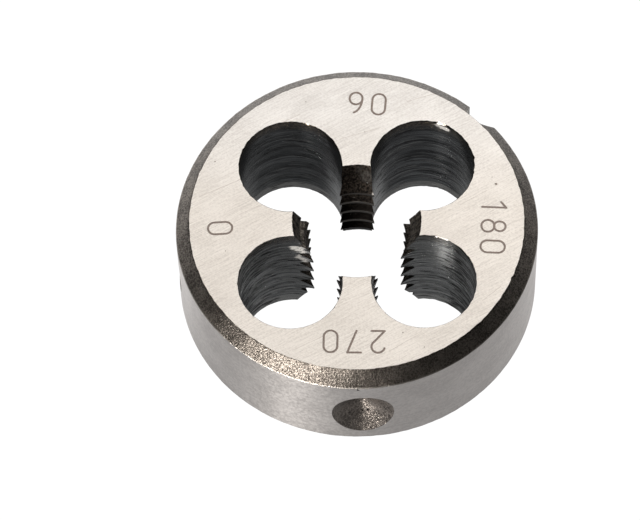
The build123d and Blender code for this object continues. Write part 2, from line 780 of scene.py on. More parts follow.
@dataclass(frozen=True)
class OuterWall:
    """The rim with its two chamfers, the notch and the screw seats."""

    disc: DiscSizes
    notch: CentringNotch
    seats: tuple[ScrewSeat, ...]
    edge_break: float = 0.012
    edge_waver: float = 0.11
    edge_waver_count: int = 3
    edge_waver_angle: float = -85.0
    edge_tear: float = 0.045
    face_edge_waves: tuple[int, ...] = (23, 41, 67, 97, 131)
    rim_edge_waves: tuple[int, ...] = (19, 37, 61, 89, 127)
    nick_angle: float = -25.16
    nick_depth: float = 0.09
    nick_turn: float = 0.6
    column_count: int = 360
    chamfer_rows: int = 6
    rim_rows: int = 20
    least_chamfer: float = 1.4

    def columns(self) -> Pair:
        """Angles of the columns, and how far the metal reaches along each.

        Returns:
            Two arrays, in order of angle.
        """
        notch_angles, notch_radii = self.notch.columns(self.disc.radius)
        even = np.arange(self.column_count) * math.tau / self.column_count
        spare = math.tau / self.column_count / 2
        clear = (even < notch_angles[0] - spare) | (even > notch_angles[-1] + spare)
        angles = np.concatenate([even[clear], notch_angles])
        radii = np.concatenate([np.full(clear.sum(), self.disc.radius), notch_radii])
        order = np.argsort(angles)
        return angles[order], radii[order]

    def chamfer_edge(self, angles: np.ndarray) -> np.ndarray:
        """How far down the rim the hand-ground upper chamfer reaches at each angle.

        Args:
            angles: Angles from +X, in radians.

        Returns:
            Lengths along the rim.
        """
        turns = self.edge_waver_count * (angles - math.radians(self.edge_waver_angle))
        return self.disc.chamfer_height + self.edge_waver * np.cos(turns)

    def face_edge(self, angles: np.ndarray, radii: np.ndarray) -> np.ndarray:
        """Radius at which the end face stops at each angle.

        Args:
            angles: Angles from +X, in radians.
            radii: How far the metal reaches at each angle.

        Returns:
            The radii.
        """
        turn = (np.degrees(angles) - self.nick_angle + 180) % 360 - 180
        nicked = self.nick_depth * np.exp(-((turn / self.nick_turn) ** 2))
        torn = self.edge_tear * unevenness(angles, self.face_edge_waves) - nicked
        room = np.clip((radii - self.disc.face_radius) / self.disc.chamfer_width, 0, 1)
        return self.disc.face_radius + torn * room

    def profile(self, angles: np.ndarray, radii: np.ndarray, height: np.ndarray) -> list[Pair]:
        """Rows of one chamfer from its end face to the rim.

        Args:
            angles: Angles of the columns.
            radii: How far the metal reaches in each column.
            height: How far along the rim the chamfer reaches in each column.

        Returns:
            A list of (radius, distance from the end face) pairs of arrays.
        """
        width = self.disc.chamfer_width
        first = self.edge_break / width
        last = np.maximum((radii - self.disc.face_radius) / width, self.least_chamfer * first)
        edge = self.face_edge(angles, radii)
        rows = [(edge - self.edge_break, 0 * angles), (edge + first * width, first * height)]
        for step in range(1, self.chamfer_rows + 1):
            share = first + (last - first) * step / self.chamfer_rows
            rows.append((self.disc.face_radius + share * width, share * height))
        torn = self.edge_tear * unevenness(angles, self.rim_edge_waves)
        rows[-1] = (rows[-1][0], rows[-1][1] + torn)
        return rows

    def build(self, draft: MeshDraft) -> tuple[Pair, Pair]:
        """Adds the whole wall.

        Args:
            draft: The draft that takes it.

        Returns:
            The point numbers and plane points of its lowest ring, and those of its highest.
        """
        angles, radii = self.columns()
        top = self.disc.thickness
        even = np.full(len(angles), self.disc.chamfer_height)
        lower = self.profile(angles, radii, even)
        upper = [(r, top - z) for r, z in self.profile(angles, radii, self.chamfer_edge(angles))]
        wall = np.minimum(lower[-1][0], upper[-1][0])
        shares = [step / self.rim_rows for step in range(1, self.rim_rows)]
        rim = [(wall, lower[-1][1] * (1 - s) + upper[-1][1] * s) for s in shares]
        rows = lower + rim + upper[::-1]
        chamfer = [Surface.CHAMFER] * (len(lower) - 1)
        kinds = chamfer + [Surface.RIM] * self.rim_rows + chamfer
        points = [np.column_stack([polar(radius, angles), height]) for radius, height in rows]
        numbers = np.array([draft.add_points(p) for p in points])
        patches = [self.seat_patch(seat, angles) for seat in self.seats]
        self.add_faces(draft, numbers, radii, kinds, patches)
        block = slice(len(chamfer), len(chamfer) + self.rim_rows + 1)
        heights = np.array([height for _, height in rows[block]])
        for seat, patch in zip(self.seats, patches):
            self.build_seat(draft, seat, patch, angles, numbers[block], heights)
        return (numbers[0], points[0][:, :2]), (numbers[-1], points[-1][:, :2])

    def add_faces(
        self,
        draft: MeshDraft,
        numbers: np.ndarray,
        radii: np.ndarray,
        kinds: list[Surface],
        patches: list[tuple[int, int]],
    ) -> None:
        """Adds the faces between all rows, but for the patches of rim that the seats take.

        Args:
            draft: The draft that takes them.
            numbers: Point numbers by row and column.
            radii: How far the metal reaches in each column.
            kinds: The surface above each row. The notch's wall is finished as the chamfers are.
            patches: First and last column of each patch.
        """
        milled = np.minimum(radii, np.roll(radii, -1)) < self.disc.radius - self.edge_break
        count = len(radii)
        for row, kind in enumerate(kinds):
            for column in range(count):
                taken = any(first <= column < last for first, last in patches)
                if kind is Surface.RIM and taken:
                    continue
                after = (column + 1) % count
                below = [numbers[row, column], numbers[row, after]]
                above = [numbers[row + 1, after], numbers[row + 1, column]]
                draft.add_face(below + above, Surface.CHAMFER if milled[column] else kind)

    def seat_patch(self, seat: ScrewSeat, angles: np.ndarray) -> tuple[int, int]:
        """Finds the patch of rim that a seat takes.

        Args:
            seat: The seat.
            angles: Angles of the rim's columns.

        Returns:
            The patch's first and last column.
        """
        middle = math.radians(seat.angle)
        turn = math.radians(seat.patch_turn)
        first = int(np.argmin(np.abs(angles - (middle - turn))))
        last = int(np.argmin(np.abs(angles - (middle + turn))))
        return first, last

    def build_seat(
        self,
        draft: MeshDraft,
        seat: ScrewSeat,
        patch: tuple[int, int],
        angles: np.ndarray,
        block: np.ndarray,
        heights: np.ndarray,
    ) -> None:
        """Adds the rim round one seat, and the seat's cone.

        Args:
            draft: The draft that takes it.
            seat: The seat.
            patch: First and last column of the patch.
            angles: Angles of the rim's columns.
            block: Point numbers of the rim's rows and columns.
            heights: Heights of the same points.
        """
        first, last = patch
        turn = np.arange(first, last + 1)
        rows = np.arange(block.shape[0])
        loop = [(0, c) for c in turn[:-1]] + [(r, last) for r in rows[:-1]]
        loop += [(rows[-1], c) for c in turn[:0:-1]] + [(r, first) for r in rows[:0:-1]]
        rim = self.disc.radius
        level = self.disc.thickness / 2 - seat.drop
        middle = math.radians(seat.angle)
        across = np.array([rim * math.sin(angles[c] - middle) for _, c in loop])
        rise = np.array([heights[r, c] - level for r, c in loop])
        direction = np.arctan2(rise, across)
        mouth = polar(seat.cone_reach(direction, rim), direction)
        outer = np.stack([across, rise], axis=1)
        ring = closed(np.array([block[r, c] for r, c in loop]))
        for step in range(1, seat.cylinder_rings + 1):
            local = outer + (mouth - outer) * smooth_step(step / seat.cylinder_rings, 0, 1)
            depth = np.sqrt(rim**2 - local[:, 0] ** 2)
            ring = draft.add_ring(ring, seat.placed(local, depth, level), Surface.RIM)
        apex = rim - seat.depth
        for step in range(1, seat.cone_rings):
            local = mouth * (1 - step / seat.cone_rings)
            depth = apex + np.linalg.norm(local, axis=1) / seat.widening
            ring = draft.add_ring(ring, seat.placed(local, depth, level), Surface.SEAT)
        tip = int(draft.add_points(seat.placed(np.zeros((1, 2)), np.array([apex]), level))[0])
        for place in range(len(ring) - 1):
            draft.add_face([ring[place], ring[place + 1], tip], Surface.SEAT)


def arc(centre: Point, radii: Point, start: float, end: float, steps: int = 12) -> list[Point]:
    """Points along an elliptic arc.

    Args:
        centre: The arc's centre.
        radii: Its radii across and up.
        start: First angle, in degrees.
        end: Last angle, in degrees.
        steps: How many chords it is drawn with.

    Returns:
        The points, in order.
    """
    angles = [math.radians(start + (end - start) * step / steps) for step in range(steps + 1)]
    return [
        (centre[0] + radii[0] * math.cos(a), centre[1] + radii[1] * math.sin(a)) for a in angles
    ]


def oval(centre: Point, radii: Point) -> list[list[Point]]:
    """Two half loops that close into an oval."""
    return [arc(centre, radii, 90, 270), arc(centre, radii, -90, 90)]


def digit_strokes(digit: str) -> list[list[Point]]:
    """The pen strokes of one digit, in a box DIGIT_WIDTH wide and 1 high.

    Args:
        digit: The digit.

    Returns:
        A list of strokes, each a list of points.
    """
    half = DIGIT_WIDTH / 2
    bend = (half, half)
    lower, upper = (half, half), (half, 1 - half)
    strokes = {
        "0": [
            arc(upper, bend, 90, 180) + arc(lower, bend, 180, 270),
            arc(lower, bend, -90, 0) + arc(upper, bend, 0, 90),
        ],
        "1": [[(0.1, 0.78), (0.36, 1.0)], [(0.36, 1.0), (0.36, 0.0)]],
        "2": [
            arc(upper, (0.27, half), 165, -32) + [(0.02, 0.0)],
            [(0.02, 0.0), (DIGIT_WIDTH, 0.0)],
        ],
        "7": [[(0.0, 1.0), (DIGIT_WIDTH, 1.0)], [(DIGIT_WIDTH, 1.0), (0.2, 0.0)]],
        "8": oval((half, 0.76), (0.23, 0.24)) + oval((half, 0.27), (half, 0.27)),
        "9": oval((half, 0.71), (0.27, 0.29)) + [arc((0.13, 0.71), (0.42, 0.71), 0, -75)],
    }
    return strokes[digit]


@dataclass(frozen=True)
class EtchedNumber:
    """A number etched in an end face, with its top towards the rim."""

    text: str
    angle: float
    middle_radius: float = 11.3
    height: float = 2.0
    spacing: float = 0.97
    stroke_width: float = 0.18
    cap_steps: int = 5
    least_step: float = 1e-6

    def outlines(self) -> list[np.ndarray]:
        """Closed outlines of all its strokes, in the plane of the face.

        Returns:
            A list of arrays of plane points, each counter-clockwise or clockwise as it falls.
        """
        turn = math.radians(self.angle)
        upward = np.array([math.cos(turn), math.sin(turn)])
        onward = np.array([math.sin(turn), -math.cos(turn)])
        width = self.spacing * (len(self.text) - 1) + DIGIT_WIDTH
        shapes = []
        for place, digit in enumerate(self.text):
            for stroke in digit_strokes(digit):
                local = np.array(stroke) + [place * self.spacing - width / 2, -0.5]
                local *= self.height
                plane = local[:, :1] * onward + (local[:, 1:] + self.middle_radius) * upward
                shapes.append(self.thicken(plane))
        return shapes

    def thicken(self, line: np.ndarray) -> np.ndarray:
        """Gives a stroke its width and round ends.

        Args:
            line: Points of the stroke.

        Returns:
            Points of its outline.
        """
        apart = np.linalg.norm(np.diff(line, axis=0), axis=1) > self.least_step
        line = line[np.append(True, apart)]
        step = np.diff(line, axis=0)
        step /= np.linalg.norm(step, axis=1, keepdims=True)
        along = np.vstack([step[:1], step[:-1] + step[1:], step[-1:]])
        along /= np.linalg.norm(along, axis=1, keepdims=True)
        half = self.stroke_width / 2
        along *= half
        side = np.stack([-along[:, 1], along[:, 0]], axis=1)
        turns = np.linspace(math.pi / 2, -math.pi / 2, self.cap_steps + 2)[1:-1, None]
        end = line[-1] + np.cos(turns) * along[-1] + np.sin(turns) * side[-1]
        start = line[0] - np.cos(turns) * along[0] - np.sin(turns) * side[0]
        return np.vstack([line + side, end, (line - side)[::-1], start])


@dataclass(frozen=True)
class Pit:
    """A small pit in an end face."""

    x: float
    y: float
    radius: float
    corner_count: int = 9
    unevenness: float = 0.3
    lobes: int = 3

    def outlines(self) -> list[np.ndarray]:
        """Closed outlines of the pit, in the plane of the face.

        Returns:
            A list that holds its one uneven outline.
        """
        angle = np.arange(self.corner_count) * math.tau / self.corner_count
        wave = np.sin(self.lobes * angle + self.x) * np.cos(angle - self.y)
        reach = 1 + self.unevenness * wave
        return [np.array([self.x, self.y]) + polar(self.radius * reach, angle)]


@dataclass(frozen=True)
class EndFace:
    """A flat end of the die between the rim's chamfer and the wall inside."""

    height: float
    upward: bool
    marks: tuple[EtchedNumber | Pit, ...] = ()
    etched_depth: float = 0.03
    join_gap: float = 1e-7

    def build(self, draft: MeshDraft, outer: Pair, inner: Pair) -> None:
        """Adds the face, with its numbers and pits sunk into it.

        Args:
            draft: The draft that takes it.
            outer: Point numbers and plane points of the outer ring.
            inner: Point numbers and plane points of the inner ring.
        """
        shapes = [shape for mark in self.marks for shape in mark.outlines()]
        loops = [outer[1], inner[1], *shapes]
        known = list(outer[0]) + list(inner[0])
        plane = [Vector(point) for loop in loops for point in loop]
        edges = []
        first = 0
        for loop in loops:
            count = len(loop)
            edges.extend((first + i, first + (i + 1) % count) for i in range(count))
            first += count
        places, _, triangles, sources, _, _ = delaunay_2d_cdt(plane, edges, [], 0, self.join_gap)
        flat = np.array([tuple(place) for place in places])
        upper = []
        for place, origins in zip(flat, sources):
            number = next((known[origin] for origin in origins if origin < len(known)), None)
            if number is None:
                number = int(draft.add_points(np.array([[*place, self.height]]))[0])
            upper.append(number)
        corners = np.array(triangles)
        middles = flat[corners].mean(axis=1)
        solid = inside(middles, outer[1]) & ~inside(middles, inner[1])
        sunk = np.zeros(len(corners), dtype=bool)
        for shape in shapes:
            sunk |= inside(middles, shape)
        self.add_faces(draft, corners[solid & ~sunk], upper, Surface.GROUND_FACE)
        if shapes:
            self.add_floor(draft, corners[solid & sunk], flat, upper)

    def add_faces(
        self,
        draft: MeshDraft,
        corners: np.ndarray,
        numbers: list[int] | dict[int, int],
        kind: Surface,
    ) -> None:
        """Adds triangles that look away from the metal.

        Args:
            draft: The draft that takes them.
            corners: Places of each triangle's corners, counter-clockwise from above.
            numbers: Point number of each place.
            kind: The surface they belong to.
        """
        for triangle in corners.tolist():
            order = triangle if self.upward else triangle[::-1]
            draft.add_face([numbers[place] for place in order], kind)

    def add_floor(
        self, draft: MeshDraft, corners: np.ndarray, flat: np.ndarray, upper: list[int]
    ) -> None:
        """Adds the floors and walls of the etched strokes and pits.

        Args:
            draft: The draft that takes them.
            corners: Places of the corners of the sunken triangles.
            flat: Plane points of the places.
            upper: Point number of each place at the face's own height.
        """
        floor_height = self.height - self.etched_depth
        floor = {}
        for place in sorted(set(corners.ravel().tolist())):
            point = np.array([[*flat[place], floor_height]])
            floor[place] = int(draft.add_points(point)[0])
        self.add_faces(draft, corners, floor, Surface.ETCHED)
        sides = {(t[i], t[(i + 1) % 3]) for t in corners.tolist() for i in range(3)}
        for start, end in sorted(sides):
            if (end, start) not in sides:
                draft.add_face([upper[start], upper[end], floor[end], floor[start]], Surface.ETCHED)


@dataclass(frozen=True)
class Grain:
    """One fractal noise of a surface: its marks to the millimetre, and how they are drawn out."""

    scale: float = 1.0
    detail: float = 4.0
    rough: float = 0.6
    warp: float = 0.0
    stretch: Spot = (1.0, 1.0, 1.0)
    angle: float = 0.0


class NodeSheet:
    """One material's nodes, with short calls that add and join them. Lengths are millimetres."""

    SPOT_EDGE: Run = (1.4, 0.7)
    STROKE_EDGE: Run = (1.0, 0.4)
    MIX_COLOURS: tuple[int, int] = (6, 7)
    MIX_RESULT: int = 2

    def __init__(self, name: str) -> None:
        """Starts a material that holds a shader and the object's own coordinates.

        Args:
            name: The material's name.
        """
        self.material = bpy.data.materials.new(name)
        self.material.use_nodes = True
        self.tree = self.material.node_tree
        self.shader = self.tree.nodes["Principled BSDF"]
        metres = self.add("ShaderNodeTexCoord", {}).outputs["Object"]
        self.place = self.vector("MULTIPLY", metres, (1 / METRES, 1 / METRES, 1 / METRES))

    def feed(self, socket: Socket, value: Input) -> None:
        """Joins an input to another node, or sets it.

        Args:
            socket: The input.
            value: An output's socket, a number, a vector or a colour.
        """
        if isinstance(value, Socket):
            self.tree.links.new(value, socket)
        elif socket.type == "RGBA":
            socket.default_value = (*value, 1.0)
        else:
            socket.default_value = value

    def add(self, kind: str, inputs: dict[str | int, Input], **settings: str) -> bpy.types.Node:
        """Adds a node.

        Args:
            kind: Blender's name of the node.
            inputs: Values or output sockets, by the input's name or place.
            settings: The node's own settings.

        Returns:
            The new node.
        """
        node = self.tree.nodes.new(kind)
        for key, value in settings.items():
            setattr(node, key, value)
        for key, value in inputs.items():
            self.feed(node.inputs[key], value)
        return node

    def math(self, operation: str, first: Number, second: Number = 0.0) -> Socket:
        """One sum on two numbers."""
        return self.add("ShaderNodeMath", {0: first, 1: second}, operation=operation).outputs[0]

    def plus(self, *terms: Number) -> Socket:
        """All the numbers added up."""
        return reduce(partial(self.math, "ADD"), terms)

    def times(self, *factors: Number) -> Socket:
        """The product of all the numbers."""
        return reduce(partial(self.math, "MULTIPLY"), factors)

    def least(self, *numbers: Number) -> Socket:
        """The least of the numbers."""
        return reduce(partial(self.math, "MINIMUM"), numbers)

    def rest(self, *factors: Number) -> Socket:
        """What is left of 1 when a product is taken off it."""
        return self.math("SUBTRACT", 1.0, self.times(*factors))

    def blend(self, *parts: tuple[Socket, float]) -> Socket:
        """Numbers added up, each times its own weight."""
        return self.plus(*(self.times(value, weight) for value, weight in parts))

    def vector(self, operation: str, first: Input, second: Input, output: str = "Vector") -> Socket:
        """One sum on two vectors.

        Args:
            operation: Blender's name of the sum.
            first: The first vector.
            second: The second vector, or a number's socket that stands for three the same.
            output: Vector, or Value for a sum that gives one number.

        Returns:
            The sum's socket.
        """
        inputs = {0: first, 1: second}
        return self.add("ShaderNodeVectorMath", inputs, operation=operation).outputs[output]

    def noise(self, grain: Grain) -> Socket:
        """A fractal noise over the object's own coordinates.

        Args:
            grain: What the noise is like.

        Returns:
            The noise's value.
        """
        turn = (0.0, 0.0, -math.radians(grain.angle))
        turned = self.add("ShaderNodeMapping", {"Vector": self.place, "Rotation": turn}).outputs[0]
        place = self.vector("MULTIPLY", turned, grain.stretch)
        inputs = {"Vector": place, "Scale": grain.scale, "Detail": grain.detail}
        inputs |= {"Roughness": grain.rough, "Distortion": grain.warp}
        return self.add("ShaderNodeTexNoise", inputs).outputs["Fac"]

    def ease(
        self, value: Socket, low: float, high: float, start: float = 0.0, end: float = 1.0
    ) -> Socket:
        """Maps a number from one range to another, smoothly and without overshoot.

        Args:
            value: The number.
            low: Number that gives start.
            high: Number that gives end.
            start: First result.
            end: Last result.

        Returns:
            The mapped number.
        """
        inputs = {"Value": value, 1: low, 2: high, 3: start, 4: end}
        node = self.add("ShaderNodeMapRange", inputs, interpolation_type="SMOOTHSTEP")
        return node.outputs[0]

    def sway(self, value: Socket, run: Run, middle: float, swing: float) -> Socket:
        """A number that eases from one side of a middle to the other along a run."""
        return self.ease(value, *run, middle - swing, middle + swing)

    def mix(self, share: Number, first: Input, second: Input) -> Socket:
        """Blends two colours, with a share from 0 to 1 of the second."""
        inputs = {0: share, **dict(zip(self.MIX_COLOURS, (first, second)))}
        return self.add("ShaderNodeMix", inputs, data_type="RGBA").outputs[self.MIX_RESULT]

    def lay(self, colour: Input, over: Input, *shares: Number) -> Socket:
        """Lays a second colour over the first, as thickly as the product of the shares."""
        return self.mix(self.times(*shares), colour, over)

    def bump(self, height: Socket, depth: float) -> Socket:
        """Bends the normal by a height from 0 to 1, where 1 stands for the depth."""
        inputs = {"Height": height, "Distance": depth * METRES, "Strength": 1.0}
        return self.add("ShaderNodeBump", inputs).outputs[0]

    def axis(self, name: str) -> Socket:
        """One of the object's own coordinates, X, Y or Z."""
        return self.add("ShaderNodeSeparateXYZ", {0: self.place}).outputs[name]

    def aside(self) -> Socket:
        """The distance from the plane between the die's left and right."""
        return self.math("ABSOLUTE", self.axis("X"))

    def flat(self) -> Socket:
        """The object's own place, at height 0."""
        return self.vector("MULTIPLY", self.place, (1.0, 1.0, 0.0))

    def radius(self) -> Socket:
        """The distance from the bore's axis."""
        return self.vector("DISTANCE", self.flat(), (0.0, 0.0, 0.0), "Value")

    def spots(self, centres: tuple[Spot, ...], radius: float, ragged: Number = 0.0) -> Socket:
        """Marks the places close to any of some points.

        Args:
            centres: The points.
            radius: How far each spot reaches.
            ragged: A length that is taken off the reach, so that the edges can be uneven.

        Returns:
            1 in a spot, 0 outside them all.
        """
        away = [self.vector("DISTANCE", self.place, centre, "Value") for centre in centres]
        outer, inner = self.SPOT_EDGE
        return self.ease(self.plus(self.least(*away), ragged), radius * outer, radius * inner)

    def strokes(self, ends: tuple[Stroke, ...], width: float) -> Socket:
        """Marks thin straight strokes, each the same at every height.

        Args:
            ends: Each stroke's first and last plane point, as four numbers.
            width: How wide they are.

        Returns:
            1 in a stroke, 0 outside them all.
        """
        flat = self.flat()
        away = []
        for start_x, start_y, end_x, end_y in ends:
            start = Vector((start_x, start_y, 0))
            run = Vector((end_x, end_y, 0)) - start
            offset = self.vector("SUBTRACT", flat, start)
            share = self.vector("DOT_PRODUCT", offset, run / run.length_squared, "Value")
            share = self.least(self.math("MAXIMUM", share, 0.0), 1.0)
            foot = self.vector("MULTIPLY", run, share)
            away.append(self.vector("DISTANCE", offset, foot, "Value"))
        outer, inner = self.STROKE_EDGE
        return self.ease(self.least(*away), width * outer, width * inner)

    def upright(self) -> Socket:
        """The bore's direction, along which a surface that is cut round and round spreads light."""
        return self.add("ShaderNodeCombineXYZ", {"Z": 1.0}).outputs[0]

    def finish(self, **values: Input) -> bpy.types.Material:
        """Sets the shader's sockets, by name with _ for a space, and gives the material."""
        for name, value in values.items():
            self.feed(self.shader.inputs[name.replace("_", " ")], value)
        return self.material

    def glow(self, strength: Number) -> bpy.types.Material:
        """Gives a material that throws nothing back and gives off white light of a strength."""
        black, white = (0.0, 0.0, 0.0), (1.0, 1.0, 1.0)
        return self.finish(Base_Color=black, Specular_IOR_Level=0.0, Emission_Color=white,
                           Emission_Strength=strength)


def grinding_lines(angle: float, length: float, width: float) -> Grain:
    """The noise of straight uneven lines of about this length and width, at an angle in degrees."""
    return Grain(1.0, 3.0, stretch=(1 / length, 1 / width, 1.0), angle=angle)


@dataclass(frozen=True)
class GroundFaceFinish:
    """A surface-ground end face: pale steel with fine straight grinding lines and scratches."""

    pale: Colour = (0.945, 0.885, 0.82)
    shade: Colour = (0.70, 0.645, 0.588)
    far_pale: Colour = (0.95, 0.915, 0.88)
    far_shade: Colour = (0.71, 0.672, 0.638)
    far_run: Run = (0.0, 12.0)
    fine: Grain = grinding_lines(25.0, 3.2, 0.075)
    broad: Grain = grinding_lines(25.0, 5.0, 0.20)
    crossing: Grain = grinding_lines(34.0, 2.4, 0.09)
    grain: Grain = Grain(5.0, 3.0, 0.7)
    cloud: Grain = Grain(0.30, 2.0, 0.5)
    weights: tuple[float, ...] = (0.30, 0.08, 0.20, 0.30, 0.12)
    pale_run: Run = (0.40, 0.58)
    roughness: float = 0.34
    rough_run: Run = (0.3, 0.7)
    rough_swing: float = 0.03
    metal: float = 0.7
    relief: float = 0.0006
    scratch: Colour = (0.50, 0.43, 0.38)
    scratch_run: FullRun = (0.35, 0.6, 0.25, 0.75)
    scratch_width: float = 0.035
    scratches: tuple[Stroke, ...] = (
        (-12.94, 2.76, -9.53, 4.29), (-9.69, 0.95, -8.06, 1.71), (-1.14, 7.87, 2.25, 8.85),
        (-12.22, -3.53, -11.33, -3.12), (2.22, -12.27, 4.73, -10.81), (-8.0, 8.6, -4.4, 10.4),
        (4.6, 11.3, 7.9, 12.3), (8.6, 1.2, 10.9, 2.5), (-5.6, -11.9, -2.9, -10.6),
        (10.0, -7.9, 11.6, -6.6),
    )

    def material(self) -> bpy.types.Material:
        """Builds the material.

        Returns:
            The material.
        """
        sheet = NodeSheet("ground_face")
        fine, broad = sheet.noise(self.fine), sheet.noise(self.broad)
        others = [sheet.noise(grain) for grain in (self.crossing, self.grain, self.cloud)]
        share = sheet.blend(*zip((fine, broad, *others), self.weights))
        far = sheet.ease(sheet.axis("Y"), *self.far_run)
        shade = sheet.mix(far, self.shade, self.far_shade)
        pale = sheet.mix(far, self.pale, self.far_pale)
        colour = sheet.mix(sheet.ease(share, *self.pale_run), shade, pale)
        scratches = sheet.strokes(self.scratches, self.scratch_width)
        faint = sheet.ease(fine, *self.scratch_run)
        colour = sheet.lay(colour, self.scratch, scratches, faint)
        rough = sheet.sway(broad, self.rough_run, self.roughness, self.rough_swing)
        normal = sheet.bump(sheet.math("SUBTRACT", fine, scratches), self.relief)
        return sheet.finish(Base_Color=colour, Metallic=self.metal, Roughness=rough, Normal=normal)


@dataclass(frozen=True)
class GrainyFinish:
    """Dark steel with a coarse sparkling grain, as heat treatment and blasting leave it."""

    name: str
    dark: Colour
    light: Colour
    grain: Grain
    relief: float
    roughness: float
    rough_run: Run = (0.3, 0.7)
    rough_swing: float = -0.08
    cloud: Grain = Grain(0.7, 3.0)
    weights: tuple[float, ...] = (0.75, 0.25)
    light_run: Run = (0.38, 0.62)
    pits: tuple[Spot, ...] = ()
    pit_radius: float = 0.1
    pit_colour: Colour = (0.012, 0.010, 0.009)
    # Painted highlight: a pale line along the outer edge of the chamfer.
    edge_highlight_run: Run | None = None
    edge_highlight_colour: Colour = (0.45, 0.415, 0.38)
    # Painted shade: darkens the left half of the screw seat, with an uneven edge.
    tone_patch_run: FullRun | None = None
    painted_shade_waver: float = 0.5

    def material(self) -> bpy.types.Material:
        """Builds the material.

        Returns:
            The material.
        """
        sheet = NodeSheet(self.name)
        grain, cloud = sheet.noise(self.grain), sheet.noise(self.cloud)
        share = sheet.blend(*zip((grain, cloud), self.weights))
        colour = sheet.mix(sheet.ease(share, *self.light_run), self.dark, self.light)
        if self.pits:
            colour = sheet.lay(colour, self.pit_colour, sheet.spots(self.pits, self.pit_radius))
        # Painted highlight: a pale line along the chamfer's outer edge.
        if self.edge_highlight_run:
            wear_and_highlight = sheet.ease(sheet.radius(), *self.edge_highlight_run)
            colour = sheet.lay(colour, self.edge_highlight_colour, wear_and_highlight)
        # Painted shade: the screw seat's left half is darkened, with an uneven edge.
        if self.tone_patch_run:
            across = sheet.plus(sheet.axis("X"), sheet.times(cloud, self.painted_shade_waver))
            colour = sheet.lay(colour, self.dark, sheet.ease(across, *self.tone_patch_run))
        normal = sheet.bump(grain, self.relief)
        rough = sheet.sway(grain, self.rough_run, self.roughness, self.rough_swing)
        return sheet.finish(Base_Color=colour, Metallic=1.0, Roughness=rough, Normal=normal)


@dataclass(frozen=True)
class RimFinish:
    """The satin rim, ground round its length."""

    pale: Colour = (0.83, 0.79, 0.765)
    shade: Colour = (0.635, 0.60, 0.58)
    lines: Grain = Grain(1.0, 4.0, 0.7, stretch=(0.25, 0.25, 9.0))
    mottle: Grain = Grain(3.5, 4.0, 0.7)
    cloud: Grain = Grain(0.35, 2.0)
    weights: tuple[float, ...] = (0.25, 0.5, 0.25)
    pale_run: Run = (0.38, 0.62)
    roughness: float = 0.38
    rough_run: Run = (0.3, 0.7)
    rough_swing: float = 0.03
    dimples: Grain = Grain(8.0, 2.0)
    relief: float = 0.0045
    spread: float = 0.8
    specks: tuple[Spot, ...] = ((-0.385, -14.995, 9.588),)
    speck_radius: float = 0.12
    speck_colour: Colour = (0.02, 0.016, 0.014)

    def material(self) -> bpy.types.Material:
        """Builds the material.

        Returns:
            The material.
        """
        sheet = NodeSheet("ground_rim")
        lines, mottle = sheet.noise(self.lines), sheet.noise(self.mottle)
        share = sheet.blend(*zip((lines, mottle, sheet.noise(self.cloud)), self.weights))
        colour = sheet.mix(sheet.ease(share, *self.pale_run), self.shade, self.pale)
        specks = sheet.spots(self.specks, self.speck_radius)
        colour = sheet.lay(colour, self.speck_colour, specks)
        rough = sheet.sway(mottle, self.rough_run, self.roughness, self.rough_swing)
        normal = sheet.bump(sheet.noise(self.dimples), self.relief)
        return sheet.finish(Base_Color=colour, Metallic=1.0, Roughness=rough, Normal=normal,
                            Anisotropic=self.spread, Tangent=sheet.upright())


